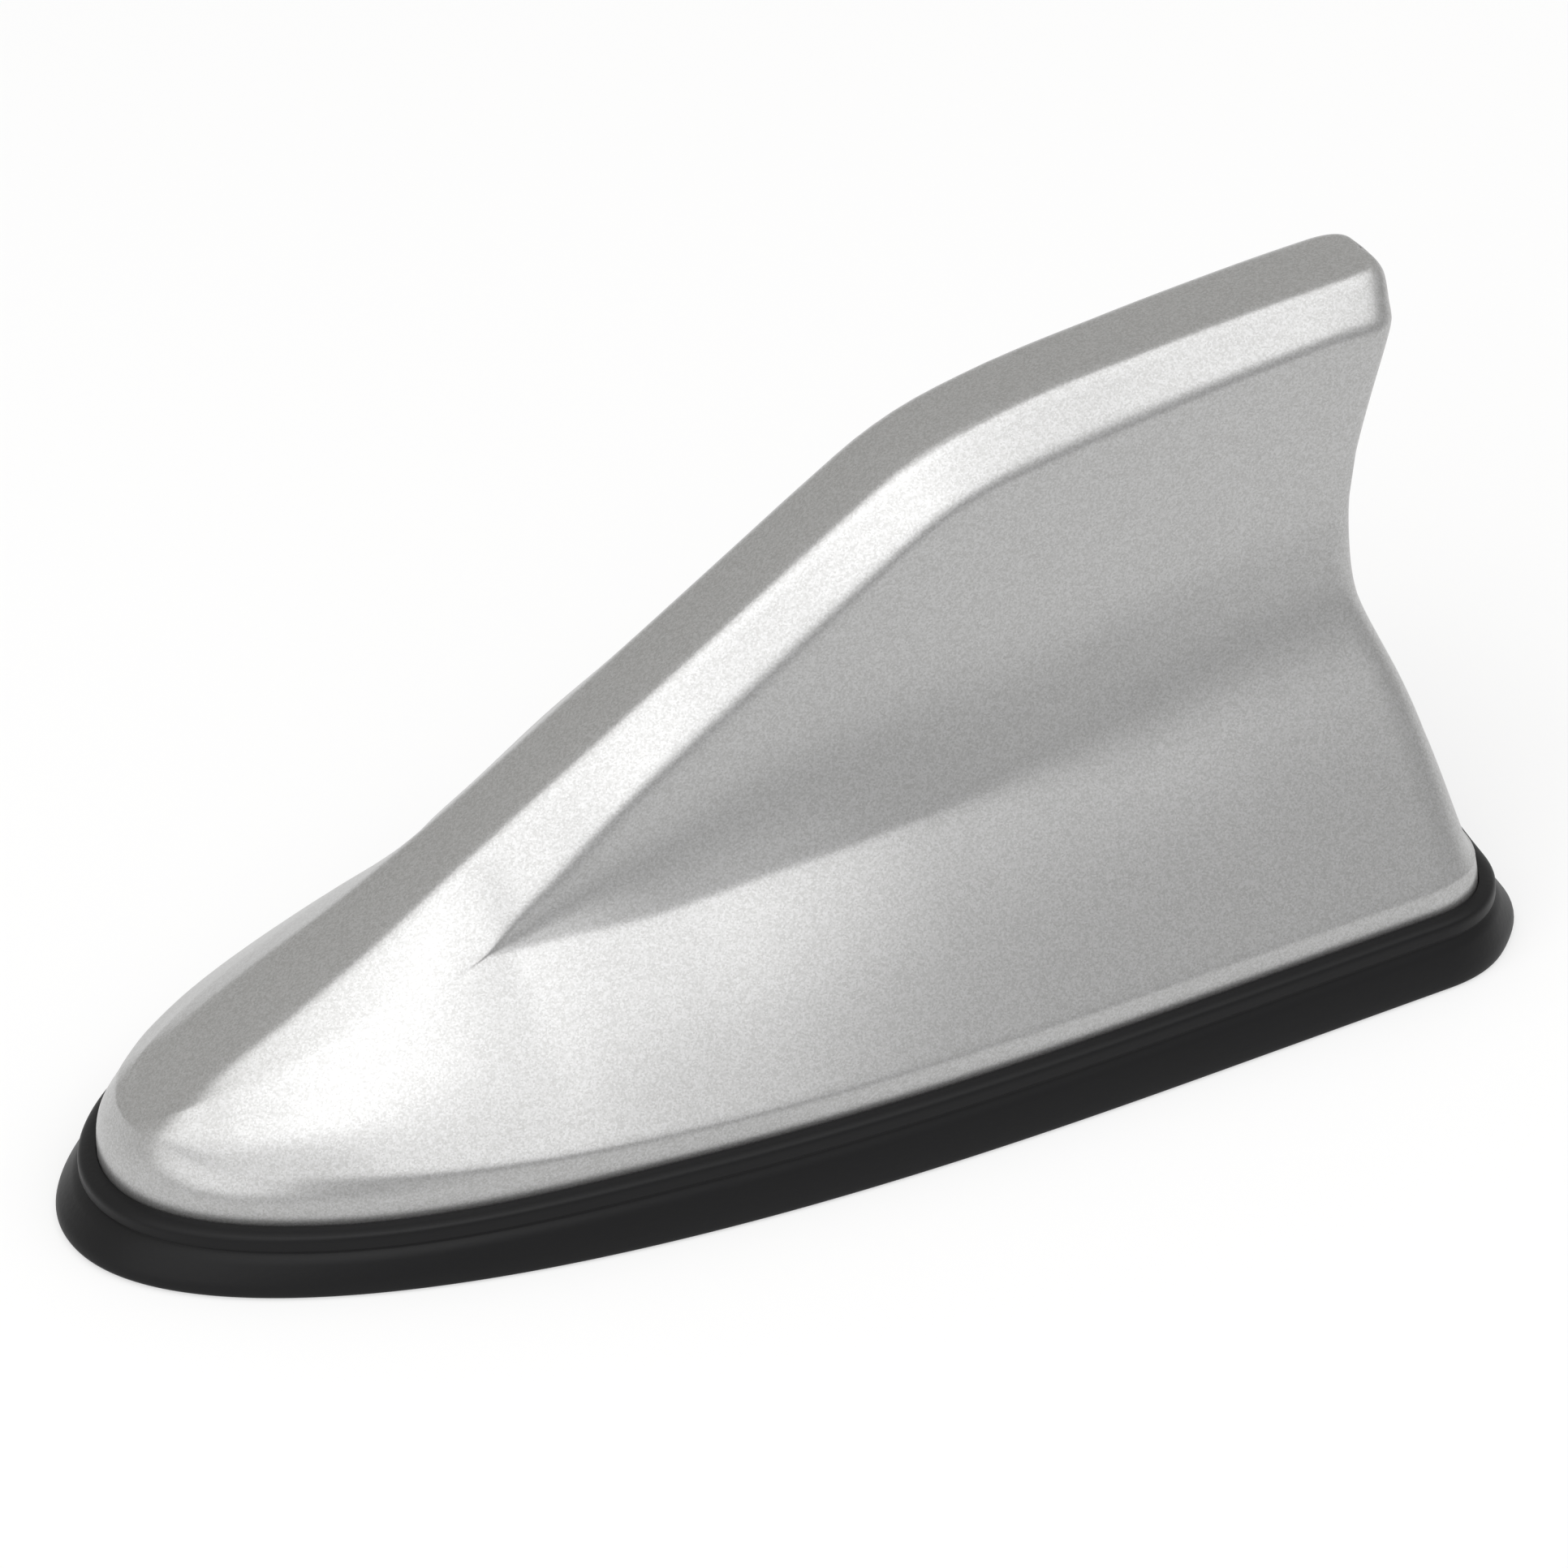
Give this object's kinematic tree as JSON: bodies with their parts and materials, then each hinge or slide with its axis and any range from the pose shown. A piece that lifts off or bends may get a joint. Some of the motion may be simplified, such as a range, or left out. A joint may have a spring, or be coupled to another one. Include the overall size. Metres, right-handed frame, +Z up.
{
  "type": "shark fin roof aerial",
  "caption": "Fin-shaped car roof aerial: a painted swept cover on a black rubber skirt, with a base plate, aerial coil and amplifier board inside and a cable outlet underneath.",
  "frame": {"origin": "on the roof skin, under the middle of the rubber skirt's outline", "axes": "+X towards the tail along the longest extent, +Y across, +Z up"},
  "size_m": [0.16, 0.0704, 0.07],
  "materials": {
    "cover_paint": "silver metallic paint, satin",
    "skirt_rubber": "moulded, matt with a soft sheen",
    "plate_plastic": "fine grained moulding",
    "pad_tape": "bonding tape, matt",
    "grommet_rubber": "moulded, matt",
    "board_laminate": "solder mask, glossy",
    "can_tin": "tinned sheet",
    "chip_epoxy": "matt",
    "ferrite": "sintered, matt",
    "capacitor_metal": "satin",
    "socket_plastic": "satin",
    "former_plastic": "satin",
    "coil_copper": "enamelled wire, glossy",
    "buffer_rubber": "moulded, matt",
    "screw_zinc": "zinc plated",
    "screw_yellow": "yellow passivated"
  },
  "bodies": {
    "root": {"fin_cover": "cover_paint", "seal_skirt": "skirt_rubber", "base_plate": "plate_plastic", "adhesive_pad": "pad_tape", "cable_grommet": "grommet_rubber", "amplifier_board": "board_laminate", "shield_can": "can_tin", "amplifier_chip": "chip_epoxy", "choke_coil": "ferrite", "capacitor_can": "capacitor_metal", "lead_socket": "socket_plastic", "coil_former": "former_plastic", "antenna_coil": "coil_copper", "top_buffer": "buffer_rubber", "cover_screw_1": "screw_zinc", "board_screw_1": "screw_yellow", "cover_screw_2": "screw_zinc", "board_screw_2": "screw_yellow", "cover_screw_3": "screw_zinc", "board_screw_3": "screw_yellow", "cover_screw_4": "screw_zinc", "board_screw_4": "screw_yellow"}
  },
  "joints": []
}
